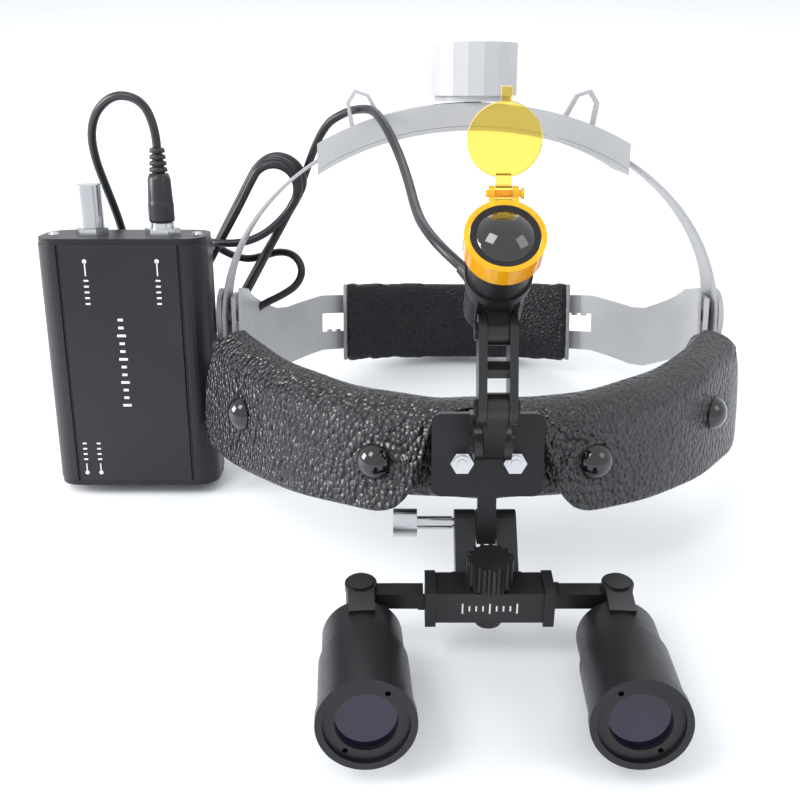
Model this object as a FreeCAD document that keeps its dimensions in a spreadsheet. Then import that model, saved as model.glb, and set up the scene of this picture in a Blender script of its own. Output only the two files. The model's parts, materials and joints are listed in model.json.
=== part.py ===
"""Dental loupes: a ratchet headband with a flip-up binocular loupe, an LED headlight and a battery box.

Millimetres, +Z up. The wearer's face looks along -Y. The headset stands on the loupes and the rear pad.
Every sub-part is first built about the middle of the headband, then all are moved together so that the
origin is the middle of the underside of the object without its cord.
"""
import FreeCAD, Part, Sketcher
import math
import os
import re

from FreeCAD import Placement, Rotation, Vector

# ---------------------------------------------------------------- driving dimensions
SIZES = {
    "band_radius": 86, "band_thick": 1.6, "band_height": 26, "band_half_angle": 79,
    "pad_top": 14.2, "pad_drop": 15, "liner_thick": 4, "outer_pad_thick": 5.2,
    "flap_thick": 3.6, "flap_start": 11, "flap_end": 70,
    "snap_radius": 5.5, "snap_rise": 3.6,
    "plate_width": 32, "plate_height": 24.5, "plate_thick": 2.6, "bolt_radius": 1.5, "bolt_gap": 15,
    "disc_radius": 10, "disc_thick": 1.8, "side_pin_radius": 2,
    "crown_half_width": 88.2, "crown_rise": 70, "crown_strap_width": 15, "strap_thick": 1.2,
    "housing_half_length": 53, "housing_width": 24, "housing_wall": 2,
    "crown_knob_radius": 15.2, "crown_knob_height": 17,
    "rear_radius": 82.3, "rear_strap_height": 24, "rear_pad_height": 35, "rear_housing_height": 27,
    "rear_pad_thick": 5, "rear_knob_radius": 9.5, "rear_knob_height": 11,
    "link_width": 9, "pin_radius": 1.5, "pin_play": 0.05, "tongue_half": 2.7, "cheek_thick": 2.2,
    "lamp_radius": 8.5, "filter_radius": 9, "filter_thick": 1.5,
    "filter_ring_radius": 9.9, "filter_reach": 12.3,
    "bridge_width": 36, "bridge_depth": 10, "bridge_height": 10, "adjuster_radius": 6.5,
    "adjuster_height": 8.5, "arm_height": 5, "arm_reach": 36, "pinion_radius": 2,
    "barrel_radius": 12, "loupe_rear_radius": 11.2, "rim_radius": 12.5, "loupe_length": 42,
    "case_width": 58, "case_depth": 24, "case_height": 85, "case_corner": 8, "case_wall": 1.5,
    "end_plate_thick": 2, "cell_radius": 9.1, "cell_length": 65,
    "dimmer_radius": 4.5, "dimmer_height": 14.5, "plug_radius": 4.5, "plug_length": 16.5,
    "cord_diameter": 3,
}

doc = FreeCAD.newDocument("dental_loupes")
sheet = doc.addObject("Spreadsheet::Sheet", "Sizes")
for row, (alias, number) in enumerate(SIZES.items(), start=1):
    sheet.set(f"A{row}", alias.replace("_", " "))
    sheet.set(f"B{row}", str(number))
    sheet.setAlias(f"B{row}", alias)
doc.recompute()

X, Y, Z = Vector(1, 0, 0), Vector(0, 1, 0), Vector(0, 0, 1)
NODES = {}
CORD_NODES = ("lamp_lead", "cord_hank", "battery_lead", "plug")


def size(alias):
    """A driving dimension, read from the sheet."""
    return float(getattr(sheet, alias))


# ---------------------------------------------------------------- placements
def at(x=0.0, y=0.0, z=0.0, axis=X, turn=0.0):
    return Placement(Vector(x, y, z), Rotation(axis, turn))


def along(base, direction):
    """A placement whose Z axis points along a direction."""
    return Placement(Vector(*base), Rotation(Z, Vector(*direction)))


FRONT_TILT, CROWN_TILT, REAR_TILT, CASE_LEAN, LAMP_TURN = 14.0, 10.4, 20.0, 10.0, 40.0
FRONT = at(0, 0, 27, X, -FRONT_TILT)   # the front band: its middle plane rises towards the brow
CROWN = at(0, 0, 57, X, -CROWN_TILT)   # the crown arch, through both side discs
REAR = at(0, 0, 50, X, -REAR_TILT)     # the rear straps, which fall towards the nape
CASE = at(-120.3, -9, 0, X, -CASE_LEAN)  # the battery box leans back on its rear lower edge
REAR_CENTRE = 13.7                     # the rear arc's centre lies this far behind the discs

ARM_BASE = Vector(0, -105.4, 63.2)
ARM_MID = Vector(0, -112, 78)
LAMP_PIVOT = Vector(0, -104, 96)
LAMP = Placement(LAMP_PIVOT, Rotation(X, LAMP_TURN))
LAMP_AXIS = 12.0                       # from the tilt pivot to the lamp's axis
FILTER_HINGE = LAMP.multVec(Vector(0, LAMP_AXIS + size("filter_reach"), 26))
FLIP_PIVOT = Vector(0, -94, 30)
BRIDGE_Y, BRIDGE_Z = -115.0, 14.0      # the bridge's middle plane and underside
BRIDGE_TOP = BRIDGE_Z + size("bridge_height")
LOUPE_RISE, LOUPE_TOE_IN = 11.0, 3.5    # the loupes' axes rise forwards and turn inwards by these angles
ARM_Z = BRIDGE_Z + 3.0


# ---------------------------------------------------------------- building blocks
def bind(text):
    """Turn a formula in the sheet's words into an expression on the sheet."""
    return re.sub(r"[a-z]\w+", lambda word: "Sizes." + word[0] if word[0] in SIZES else word[0], text)


def primitive(kind, place, **formulas):
    item = doc.addObject("Part::" + kind, kind)
    for name, formula in formulas.items():
        item.setExpression(name, bind(str(formula)))
    item.Placement = place
    return item


def rod(radius, length, base=(0, 0, 0), direction=(0, 0, 1), sweep=360, start=0.0):
    place = along(base, direction) * at(axis=Z, turn=start)
    return primitive("Cylinder", place, Radius=radius, Height=length, Angle=sweep)


def cone(radius1, radius2, length, base=(0, 0, 0), direction=(0, 0, 1)):
    return primitive("Cone", along(base, direction), Radius1=radius1, Radius2=radius2, Height=length)


def block(x0, x1, y0, y1, z0, z1, place=None):
    """A box between two corners; a side may be a number or a formula of the sheet."""
    item = doc.addObject("Part::Box", "Box")
    item.setExpression("Length", bind(f"({x1}) - ({x0})"))
    item.setExpression("Width", bind(f"({y1}) - ({y0})"))
    item.setExpression("Height", bind(f"({z1}) - ({z0})"))
    if place is None:
        item.setExpression("Placement.Base.x", bind(str(x0)))
        item.setExpression("Placement.Base.y", bind(str(y0)))
        item.setExpression("Placement.Base.z", bind(str(z0)))
    else:
        item.Placement = place
    return item


def fuse(*items):
    result = doc.addObject("Part::MultiFuse", "Fuse")
    result.Shapes = list(items)
    return result


def cut(base, *tools):
    result = doc.addObject("Part::Cut", "Cut")
    result.Base = base
    result.Tool = tools[0] if len(tools) == 1 else fuse(*tools)
    return result


def group(*items):
    result = doc.addObject("Part::Compound", "Group")
    result.Links = list(items)
    return result


def feature(shape, place=None):
    """A sub-part whose form no primitive gives."""
    item = doc.addObject("Part::Feature", "Shape")
    item.Shape = shape
    if place is not None:
        item.Placement = place
    return item


def node(label, item, place=None):
    """Name a finished sub-part and put it in its place."""
    if any(name.startswith(("Placement", ".Placement")) for name, _ in item.ExpressionEngine):
        item = group(item)
    item.Label = label
    if place is not None:
        item.Placement = place * item.Placement
    NODES[label] = item
    return item


def front_turn(angle):
    """The start of an arc measured from straight ahead, positive towards +X."""
    return angle - 90.0


def arc_wall(inner, outer, z0, z1, start, end):
    """A wall bent about Z between two angles from straight ahead."""
    height, sweep = f"({z1}) - ({z0})", end - start
    skin = rod(outer, height, sweep=sweep, start=front_turn(start))
    core = rod(inner, f"({height}) + 2", (0, 0, -1), sweep=360)
    wall = cut(skin, core)
    wall.setExpression("Placement.Base.z", bind(str(z0)))
    return wall


def on_band(angle, radius, z):
    """A point of the headband, by its angle from straight ahead."""
    turn = math.radians(angle)
    return (radius * math.sin(turn), -radius * math.cos(turn), z)


def outward(angle):
    turn = math.radians(angle)
    return (math.sin(turn), -math.cos(turn), 0)


def arch(low, high, width, x0, x1):
    """A stretch of the crown arch between two offsets from its middle line, in the crown's own frame."""
    half, rise = size("crown_half_width"), size("crown_rise")

    def column(offset):
        rim = Part.Ellipse(Vector(0, 0, 0), half + offset, rise + offset).toShape()
        face = Part.Face(Part.Wire([rim]))
        face.rotate(Vector(0, 0, 0), X, 90)
        face.translate(Vector(0, width / 2, 0))
        return face.extrude(Vector(0, -width, 0))

    window = Part.makeBox(x1 - x0, width + 2, rise + 30, Vector(x0, -width / 2 - 1, 0))
    return column(high).cut(column(low)).common(window)


def arch_point(x, offset=0.0):
    """A point on the crown arch and the way out of it, in the crown's own frame."""
    half, rise = size("crown_half_width") + offset, size("crown_rise") + offset
    z = rise * math.sqrt(1 - (x / half) ** 2)
    out = Vector(x / half ** 2, 0, z / rise ** 2)
    return Vector(x, 0, z), out.normalize()


def stadium(p, q, radius, x0, x1):
    """A flat link with round ends between two pivots that run along X."""
    run = q - p
    turn = math.degrees(math.atan2(run.z, run.y))
    lift = Placement(Vector(x0, p.y, p.z), Rotation(X, turn)) * at(0, 0, -radius)
    web = block(0, x1 - x0, 0, run.Length, 0, 2 * radius, lift)
    ends = [rod(radius, x1 - x0, (x0, c.y, c.z), (1, 0, 0)) for c in (p, q)]
    return fuse(web, *ends)


def pivot_hole(p, x0, x1):
    return rod("pin_radius + pin_play", x1 - x0, (x0, p.y, p.z), (1, 0, 0))


def hexagon(across, height, base, direction):
    prism = primitive("Prism", along(base, direction), Circumradius=f"{across} / 2 / cos(30)", Height=height)
    prism.Polygon = 6
    return prism


# ---------------------------------------------------------------- front band
BOLT_Z = 1.5
LEATHER_RISE = 13.2                    # slope of the front leather's top edge against the band, in degrees
SNAPS = ((-53.3, 4.8), (-20.0, -1.5), (20.0, -1.5), (53.3, 4.8))
DISC_IN_FRONT = FRONT.inverse().multVec(Vector(0, 0, 57))
DISC_IN_REAR = REAR.inverse().multVec(Vector(0, 0, 57))


def bolt_holes(y_from, y_to):
    gap = size("bolt_gap") / 2
    return [rod("bolt_radius + pin_play", y_to - y_from, (side * gap, y_from, BOLT_Z), (0, 1, 0))
            for side in (-1, 1)]


def side_pin_hole(y, z, reach=110):
    return rod("side_pin_radius + pin_play", 2 * reach, (-reach, y, z), (1, 0, 0))


def build_front_band():
    half = size("band_half_angle")
    radii = ("band_radius - band_thick / 2", "band_radius + band_thick / 2")
    strip = arc_wall(*radii, "-band_height / 2", "band_height / 2", -half, half)
    tab_top = DISC_IN_FRONT.z + 7.5
    tab_low = DISC_IN_FRONT.z - 17
    tabs = [arc_wall(*radii, tab_low, tab_top, side * 85 - 7, side * 85 + 5) for side in (-1, 1)]
    holes = [side_pin_hole(DISC_IN_FRONT.y, DISC_IN_FRONT.z), *bolt_holes(-100, -70)]
    node("front_band", cut(fuse(strip, *tabs), *holes), FRONT)


def above_leather():
    """All that lies over the front leather's top edge, which rises towards both ends."""
    edge = at(0, -flap_face(), size("pad_top"), X, LEATHER_RISE)
    return block(-120, 120, -20, 200, 0, 60, edge * at(-120, -20, 0))


def leather_wall(inner, outer, start, end):
    """A curved layer of the front pad, cut off along its rising top edge."""
    return cut(arc_wall(inner, outer, "-pad_drop", "pad_top + 17", start, end), above_leather())


def build_front_pads():
    inner = "band_radius - band_thick / 2 - 1.6"
    liner = leather_wall(f"{inner} - liner_thick", inner, -72, 72)
    gap = size("bolt_gap") / 2
    recesses = [rod(3.2, 1.6, (side * gap, -84.2, BOLT_Z), (0, 1, 0)) for side in (-1, 1)]
    node("brow_liner", cut(liner, *recesses), FRONT)
    base = "band_radius + band_thick / 2 + 0.3"
    outer = leather_wall(base, f"{base} + outer_pad_thick", -70, 70)
    backing = block(-15, 15, -96.3, -92.4, -12, 13.2)
    node("front_pad", group(cut(outer, *bolt_holes(-100, -70)), cut(backing, *bolt_holes(-105, -85))), FRONT)
    start, end = size("flap_start"), size("flap_end")
    flap_base = f"{base} + outer_pad_thick + 0.2"
    flaps = [leather_wall(flap_base, f"{flap_base} + flap_thick", low, high)
             for low, high in ((-end, -start), (start, end))]
    node("front_flaps", group(*flaps), FRONT)


def flap_face():
    return size("band_radius") + size("band_thick") / 2 + 0.5 + size("outer_pad_thick") + size("flap_thick")


def build_snaps():
    """Domed snap caps outside the flaps, and their backs on the inside of the band."""
    radius, rise = size("snap_radius"), size("snap_rise")
    ball = (radius ** 2 + rise ** 2) / (2 * rise)
    caps = []
    backs = []
    for angle, z in SNAPS:
        face = flap_face() + 0.1
        sphere = primitive("Sphere", at(*on_band(angle, face + rise - ball, z)), Radius=f"{ball}")
        keep = rod("snap_radius", "snap_rise + 1", on_band(angle, face, z), outward(angle))
        common = doc.addObject("Part::MultiCommon", "Cap")
        common.Shapes = [sphere, keep]
        caps.append(common)
        back = size("band_radius") - size("band_thick") / 2 - 1.4
        backs.append(rod("snap_radius - 1", 1.2, on_band(angle, back - 0.1, z), outward(angle)))
    node("snaps", group(*caps, *backs), FRONT)


PLATE_BACK = -96.4
PLATE_MID_Z = 3.0


def build_mount_plate():
    """The mount plate: a padded sketch with rounded corners and two bolt holes."""
    body = doc.addObject("PartDesign::Body", "PlateBody")
    plane = next(f for f in body.Origin.OriginFeatures if f.Role == "XZ_Plane")
    sketch = body.newObject("Sketcher::SketchObject", "PlateOutline")
    sketch.AttachmentSupport = [(plane, "")]
    sketch.MapMode = "FlatFace"
    half_w, half_h = size("plate_width") / 2, size("plate_height") / 2
    corners = [Vector(-half_w, -half_h, 0), Vector(half_w, -half_h, 0),
               Vector(half_w, half_h, 0), Vector(-half_w, half_h, 0)]
    for i in range(4):
        sketch.addGeometry(Part.LineSegment(corners[i], corners[(i + 1) % 4]), False)
    for i in range(4):
        sketch.addConstraint(Sketcher.Constraint("Coincident", i, 2, (i + 1) % 4, 1))
    for i, kind in enumerate(("Horizontal", "Vertical", "Horizontal", "Vertical")):
        sketch.addConstraint(Sketcher.Constraint(kind, i))
    sketch.addConstraint(Sketcher.Constraint("Symmetric", 0, 1, 1, 2, -1, 1))
    wide = sketch.addConstraint(Sketcher.Constraint("DistanceX", 0, 1, 0, 2, 2 * half_w))
    tall = sketch.addConstraint(Sketcher.Constraint("DistanceY", 1, 1, 1, 2, 2 * half_h))
    sketch.setExpression(f"Constraints[{wide}]", bind("plate_width"))
    sketch.setExpression(f"Constraints[{tall}]", bind("plate_height"))
    pad = body.newObject("PartDesign::Pad", "PlatePad")
    pad.Profile = sketch
    pad.setExpression("Length", bind("plate_thick"))
    doc.recompute()
    upright = [f"Edge{i + 1}" for i, edge in enumerate(pad.Shape.Edges)
               if abs(edge.tangentAt(edge.FirstParameter).y) > 0.9]
    rounded = body.newObject("PartDesign::Fillet", "PlateCorners")
    rounded.Base = (pad, upright)
    rounded.Radius = 3
    body.Tip = rounded
    doc.recompute()
    low = body.Shape.BoundBox.YMin
    body.Placement = at(0, PLATE_BACK - size("plate_thick") - low, PLATE_MID_Z)
    node("mount_plate", fuse(cut(body, *bolt_holes(-105, -90)), hinge_tongue()), FRONT)


def build_plate_fittings():
    gap = size("bolt_gap") / 2
    face = PLATE_BACK - size("plate_thick")
    band_inside = -math.sqrt((size("band_radius") - 0.8) ** 2 - (gap + 3) ** 2)
    bolts, nuts = [], []
    for side in (-1, 1):
        head = rod(2.9, 1.3, (side * gap, band_inside + 1.35, BOLT_Z), (0, -1, 0))
        shank = rod("bolt_radius", 20.3, (side * gap, band_inside + 1.3, BOLT_Z), (0, -1, 0))
        bolts.append(fuse(head, shank))
        bore = rod("bolt_radius + 0.02", 8, (side * gap, face + 2, BOLT_Z), (0, -1, 0))
        prism = hexagon(5.8, 3.2, (side * gap, face - 0.02, BOLT_Z), (0, -1, 0))
        collar = rod(2.5, 1, (side * gap, face - 3.1, BOLT_Z), (0, -1, 0))
        nuts.append(cut(fuse(prism, collar), bore))
    node("plate_bolts", group(*bolts), FRONT)
    node("lock_nuts", group(*nuts), FRONT)


def build_side_discs():
    """Two round caps, each on a pin through the crown strap, the band and the rear strap."""
    caps = []
    for side in (-1, 1):
        face = size("crown_half_width") + size("strap_thick") / 2 + 0.1
        cap = rod("disc_radius", "disc_thick", (side * face, 0, 57), (side, 0, 0))
        ring = rod("disc_radius - 3", 0.4, (side * (face + size("disc_thick") - 0.05), 0, 57), (side, 0, 0))
        pin = rod("side_pin_radius", 7, (side * (face + 0.05), 0, 57), (-side, 0, 0))
        caps.append(fuse(cap, ring, pin))
    node("side_discs", group(*caps))


# ---------------------------------------------------------------- crown arch
CLIP_X = 37.0


def crown_strap(side):
    thick = size("strap_thick")
    near, far = (30, 100) if side > 0 else (-100, -30)
    bend = arch(-thick / 2, thick / 2, size("crown_strap_width"), near, far)
    x = side * size("crown_half_width")
    tab = Part.makeBox(thick, 16, 9.2, Vector(x - thick / 2, -8, -9))
    hole = Part.makeCylinder(size("side_pin_radius") + size("pin_play"), 40, Vector(x - 20, 0, 0), X)
    slot = Part.makeBox(30, 5, 12, Vector(x - 15, -2.5, 14))
    return bend.fuse(tab).cut(hole).cut(slot)


def build_crown():
    half, width, wall = size("housing_half_length"), size("housing_width"), size("housing_wall")
    node("crown_straps", feature(Part.makeCompound([crown_strap(-1), crown_strap(1)])), CROWN)
    shell = arch(-2.5, 5, width, -half, half)
    hollow = arch(-3, 3, width - 2 * wall, -half - 5, half + 5)
    shaft_hole = Part.makeCylinder(3.05, 20, Vector(0, 0, size("crown_rise") - 5), Z)
    node("crown_housing", feature(shell.cut(hollow).cut(shaft_hole)), CROWN)
    node("crown_cover", feature(arch(-4, -2.6, width, -half, half)), CROWN)


def cable_clip(x):
    """A peaked loop of flat strip that stands on the crown housing."""
    foot, out = arch_point(x, 5.0)
    points = [(-5.6, -0.4), (-4.2, 7.4), (0, 10.6), (4.2, 7.4), (5.6, -0.4)]
    inner = [(-4.3, -0.6), (-3.1, 6.9), (0, 9.2), (3.1, 6.9), (4.3, -0.6)]

    def prism(outline):
        wire = Part.makePolygon([Vector(a, -2.2, b) for a, b in outline + outline[:1]])
        return Part.Face(wire).extrude(Vector(0, 4.4, 0))

    loop = prism(points).cut(prism(inner))
    loop.Placement = Placement(foot + out * 0.45, Rotation(Z, out))
    return loop


def build_crown_fittings():
    node("cable_clips", feature(Part.makeCompound([cable_clip(-CLIP_X), cable_clip(CLIP_X)])), CROWN)
    top = size("crown_rise") + 5
    base = rod("crown_knob_radius - 2", 2, (0, 0, top + 0.3))
    knob = primitive("Prism", at(0, 0, top + 2.2), Circumradius="crown_knob_radius", Height="crown_knob_height")
    knob.Polygon = 18
    shaft = rod(3, 11, (0, 0, top - 5))
    node("crown_knob", fuse(base, knob, shaft), CROWN)


# ---------------------------------------------------------------- rear straps and pad
def rear_arc(inner, outer, z0, z1, half_angle):
    wall = arc_wall(inner, outer, z0, z1, 180 - half_angle, 180 + half_angle)
    wall.setExpression("Placement.Base.y", str(REAR_CENTRE))
    return wall


def ring_part(inner, outer, z0, z1, start, end):
    """A stretch of the rear strap's ring, by its angles from straight ahead, in the rear's own frame."""
    centre = Vector(0, REAR_CENTRE, z0)
    sector = Part.makeCylinder(outer, z1 - z0, centre, Z, end - start)
    sector.rotate(centre, Z, front_turn(start))
    return sector.cut(Part.makeCylinder(inner, z1 - z0 + 2, centre - Z))


STRAP_END, RACK_END = 158, 186         # where the full strap ends and where its rack ends
TOOTH_STEP = 1.9


def rear_strap(side):
    """A strap from the side disc round to the back, with a toothed slot and a rack of half its height."""
    radius, thick, high = size("rear_radius"), size("strap_thick"), size("rear_strap_height") / 2
    inner, outer = radius - thick / 2, radius + thick / 2
    bend = ring_part(inner, outer, -high, high, 90, STRAP_END)
    rack = ring_part(inner, outer, 3, 8, STRAP_END - 1, RACK_END)
    straight = Part.makeBox(thick, REAR_CENTRE + 12, 2 * high, Vector(inner, -12, -high))
    hole = Part.makeCylinder(size("side_pin_radius") + size("pin_play"), 20,
                             Vector(radius - 10, DISC_IN_REAR.y, side * DISC_IN_REAR.z), X)
    slot = ring_part(inner - 2, outer + 2, -4.75, 4.75, STRAP_END - 24, STRAP_END - 2)
    strap = bend.fuse([rack, straight]).cut(hole).cut(slot)
    teeth = [ring_part(inner, outer, 3.2, 4.9, angle, angle + TOOTH_STEP / 2)
             for angle in (STRAP_END - 23 + TOOTH_STEP * i for i in range(11))]
    strap = strap.fuse(teeth).removeSplitter()
    if side < 0:
        strap.rotate(Vector(0, 0, 0), Y, 180)
    return strap


def build_rear():
    node("rear_straps", feature(Part.makeCompound([rear_strap(-1), rear_strap(1)])), REAR)
    tall, housing = "rear_pad_height / 2", "rear_housing_height / 2"
    base = "rear_radius - strap_thick / 2 - 0.4"
    node("rear_cover", rear_arc(f"{base} - 1.2", base, f"-{housing}", housing, 24), REAR)
    pad_face = f"{base} - 1.4"
    node("rear_pad", rear_arc(f"{pad_face} - rear_pad_thick", pad_face, f"-{tall}", tall, 40), REAR)
    shell = rear_arc("rear_radius - 0.8", "rear_radius + 6.5", f"-{housing}", housing, 24)
    hollow = rear_arc("rear_radius - 2", "rear_radius + 4.5", f"-({housing}) + 1.2", f"{housing} - 1.2", 26)
    back = REAR_CENTRE + size("rear_radius") + 6.5
    bore = rod(3.05, 12, (0, back - 6, 0), (0, 1, 0))
    node("rear_housing", cut(shell, hollow, bore), REAR)
    base_ring = rod("rear_knob_radius - 2", 1.6, (0, back + 0.3, 0), (0, 1, 0))
    knob = primitive("Prism", along((0, back + 1.8, 0), (0, 1, 0)), Circumradius="rear_knob_radius",
                     Height="rear_knob_height")
    knob.Polygon = 24
    shaft = rod(3, 6.4, (0, back - 6, 0), (0, 1, 0))
    node("rear_knob", fuse(base_ring, knob, shaft), REAR)


# ---------------------------------------------------------------- lamp arm
def build_lamp_arm():
    half, cheek, radius = size("tongue_half"), size("cheek_thick"), size("link_width") / 2
    local = FRONT.inverse().multVec(ARM_BASE)
    face = PLATE_BACK - size("plate_thick")
    outer = half + 0.15 + cheek
    foot = block(-outer - 0.6, outer + 0.6, local.y + 6.4, face - 0.02, local.z - 4.3, local.z + 6.8)
    ears = []
    for side in (-1, 1):
        x0 = half + 0.15 if side > 0 else -outer
        ears.append(stadium(Vector(0, face - 1, local.z), local, radius - 0.3, x0, x0 + cheek))
    behind = block(-10, 10, face - 0.02, -80, -30, 40)
    bracket = cut(fuse(foot, *ears), pivot_hole(local, -8, 8), behind)
    clear_nuts = [rod(3.5, 6, (side * size("bolt_gap") / 2, face + 1, BOLT_Z), (0, -1, 0)) for side in (-1, 1)]
    node("arm_bracket", cut(bracket, *clear_nuts), FRONT)

    lower = stadium(ARM_BASE, ARM_MID, radius - 0.5, -half, half)
    node("lower_link", cut(lower, pivot_hole(ARM_BASE, -8, 8), pivot_hole(ARM_MID, -8, 8)))

    cheeks = [stadium(ARM_MID, LAMP_PIVOT, radius, x0, x0 + cheek) for x0 in (half + 0.15, -outer)]
    middle = (ARM_MID + LAMP_PIVOT) * 0.5
    web = block(-half - 0.2, half + 0.2, middle.y - 2.6, middle.y + 2.6, middle.z - 1.2, middle.z + 1.2)
    upper = cut(fuse(*cheeks, web), pivot_hole(ARM_MID, -8, 8), pivot_hole(LAMP_PIVOT, -8, 8))
    node("upper_link", upper)

    for name, p in (("base_pin", ARM_BASE), ("mid_pin", ARM_MID), ("tilt_pin", LAMP_PIVOT)):
        shank = rod("pin_radius", 2 * outer + 0.4, (-outer - 0.2, p.y, p.z), (1, 0, 0))
        head = rod(2.4, 0.7, (outer + 0.1, p.y, p.z), (1, 0, 0))
        nut = hexagon(4.4, 0.8, (-outer - 0.1, p.y, p.z), (-1, 0, 0))
        node(name, fuse(shank, head, nut))


# ---------------------------------------------------------------- lamp and filter, about the tilt pivot
GLAND = Vector(-5.4, LAMP_AXIS + 5.4, -2.5)
GLAND_WAY = Vector(-0.7, 0.714, 0)
GLAND_LENGTH = 4.5


def build_lamp():
    radius = size("lamp_radius")
    centre = (0, LAMP_AXIS)
    neck = stadium(Vector(0, 0, 0), Vector(0, 3.5, 0), 3.6, -size("tongue_half"), size("tongue_half"))
    seat = block(-5.5, 5.5, 5, 7, -5, 6.3)
    saddle = cut(fuse(neck, seat), pivot_hole(Vector(0, 0, 0), -8, 8), rod("lamp_radius - 0.5", 40, (*centre, -20)))
    node("lamp_saddle", saddle, LAMP)

    core = rod("lamp_radius - 2.2", 12.8, (*centre, -10))
    fins = [rod("lamp_radius - 0.6", 1, (*centre, -10 + 1.65 * i)) for i in range(8)]
    wire_way = rod("cord_diameter / 2", 12, GLAND, GLAND_WAY)
    node("lamp_heatsink", cut(fuse(core, *fins), wire_way), LAMP)

    tube = rod("lamp_radius - 0.5", 18.6, (*centre, 2.9))
    collar = rod("lamp_radius + 0.2", 3, (*centre, 6.5))
    inside = rod("lamp_radius - 2", 20, (*centre, 5))
    bezel = rod("lamp_radius - 0.1", 5.4, (*centre, 21.4))
    throat = rod("lamp_radius - 2.4", 8, (*centre, 20))
    node("lamp_barrel", cut(fuse(tube, collar, bezel), inside, throat), LAMP)
    board = rod("lamp_radius - 2.6", 1.6, (*centre, 5.1))
    chip = block(-1.8, 1.8, LAMP_AXIS - 1.8, LAMP_AXIS + 1.8, 6.6, 8)
    node("led_module", fuse(board, chip), LAMP)

    aperture = radius - 2.5
    rise = 2.4
    ball = (aperture ** 2 + rise ** 2) / (2 * rise)
    sphere = primitive("Sphere", at(*centre, 26.4 - ball), Radius=str(ball))
    blank = rod(aperture, 4.8, (*centre, 21.8))
    lens = doc.addObject("Part::MultiCommon", "Lens")
    lens.Shapes = [sphere, blank]
    node("lamp_lens", lens, LAMP)

    gland = cone("cord_diameter / 2 + 1.3", "cord_diameter / 2 + 0.5", GLAND_LENGTH, GLAND, GLAND_WAY)
    channel = rod("cord_diameter / 2", 10, GLAND - GLAND_WAY * 2, GLAND_WAY)
    node("lamp_gland", cut(cut(gland, channel), rod("lamp_radius - 0.55", 30, (*centre, -12))), LAMP)


def build_filter():
    ring = rod("filter_ring_radius", 6.4, (0, LAMP_AXIS, 20.5))
    hole = rod("lamp_radius + 0.02", 8, (0, LAMP_AXIS, 20))
    hinge_y = LAMP_AXIS + size("filter_reach")
    lugs = []
    for x0 in (-3.6, 2.2):
        lugs.append(block(x0, x0 + 1.4, LAMP_AXIS + 9, hinge_y, 23.6, 26.9))
        lugs.append(rod(1.9, 1.4, (x0, hinge_y, 26), (1, 0, 0)))
    pin_hole = rod(0.85, 12, (-6, hinge_y, 26), (1, 0, 0))
    node("filter_ring", cut(fuse(ring, *lugs), hole, pin_hole), LAMP)
    pin = fuse(rod(0.8, 9.2, (-4.3, hinge_y, 26), (1, 0, 0)), rod(1.3, 0.8, (4.2, hinge_y, 26), (1, 0, 0)))
    node("filter_pin", pin, LAMP)

    reach, back = size("filter_reach"), 2.0
    disc = rod("filter_radius", "filter_thick", (0, back, reach), (0, 1, 0))
    neck = block(-1.9, 1.9, 0, back + 1.5, 1.4, 4.4)
    barrel = rod(1.9, 4.1, (-2.05, 0, 0), (1, 0, 0))
    arm = block(-1.9, 1.9, back, back + 1.5, 2, 6)
    tab = block(-1.3, 1.3, back, back + 1.5, reach + 8.6, reach + 12.4)
    hole = rod(0.85, 8, (-4, 0, 0), (1, 0, 0))
    hinge = Placement(FILTER_HINGE, Rotation())
    node("filter_disc", cut(fuse(disc, neck, barrel, arm, tab), hole), hinge)


# ---------------------------------------------------------------- flip mount and bridge
def hinge_tongue():
    """The tongue under the mount plate that the loupes hang on."""
    local = FRONT.inverse().multVec(FLIP_PIVOT)
    face = PLATE_BACK - size("plate_thick")
    drop = block(-2.7, 2.7, face, PLATE_BACK - 0.2, local.z - 4, PLATE_MID_Z - size("plate_height") / 2 + 1)
    web = block(-2.7, 2.7, face, local.y, local.z - 4, local.z + 4)
    boss = rod(4, 5.4, (-2.7, local.y, local.z), (1, 0, 0))
    return cut(fuse(drop, web, boss), pivot_hole(local, -8, 8))


def build_flip_mount():
    low = Vector(0, -106, 20)
    body = fuse(stadium(FLIP_PIVOT, low, 4, -9, 9), block(-9, 9, -109.9, -103, BRIDGE_Z, BRIDGE_TOP - 1),
                block(-10, 10, -109.9, -107, BRIDGE_Z, BRIDGE_TOP - 2))
    slot = block(-3, 3, -103.5, -80, 20, 40)
    node("flip_block", cut(body, slot, pivot_hole(FLIP_PIVOT, -12, 12)))

    shaft = rod("pin_radius", 29, (-20, FLIP_PIVOT.y, FLIP_PIVOT.z), (1, 0, 0))
    sleeve = rod(2, 10.6, (-20.2, FLIP_PIVOT.y, FLIP_PIVOT.z), (1, 0, 0))
    knob = primitive("Prism", along((-20, FLIP_PIVOT.y, FLIP_PIVOT.z), (-1, 0, 0)), Circumradius="4.2", Height="7")
    knob.Polygon = 36
    node("flip_screw", fuse(shaft, sleeve, knob))


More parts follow.
